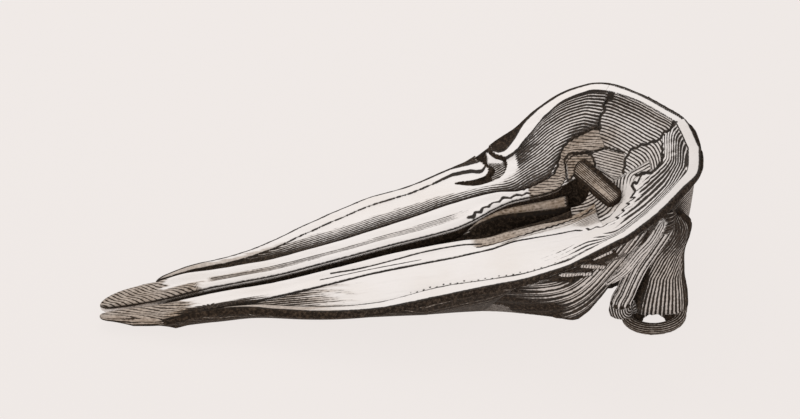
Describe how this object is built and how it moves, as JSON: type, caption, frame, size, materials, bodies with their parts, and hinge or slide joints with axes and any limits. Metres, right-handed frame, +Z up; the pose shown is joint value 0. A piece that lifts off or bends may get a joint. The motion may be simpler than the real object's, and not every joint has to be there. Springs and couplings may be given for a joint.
{
  "type": "sperm whale skull",
  "caption": "Long whale cranium without its lower jaw: a tapering snout of split upper jaw bones widens into a deep bowl with a high crest, over two columns that end in ringed feet.",
  "frame": {"origin": "centre of the bounding box on the ground that the skull stands on", "axes": "+X along the skull from snout to the back of the head, +Y to the animal's right, +Z up"},
  "size_m": [4.9985, 2.1754, 1.29],
  "materials": {
    "pale_bone": "matt",
    "warm_bone": "matt",
    "dark_bone": "matt"
  },
  "bodies": {
    "root": {"right_maxilla": "pale_bone", "left_maxilla": "pale_bone", "right_premaxilla": "pale_bone", "left_premaxilla": "pale_bone", "vomer": "dark_bone", "nasal_bone": "warm_bone", "braincase": "warm_bone"}
  },
  "joints": []
}
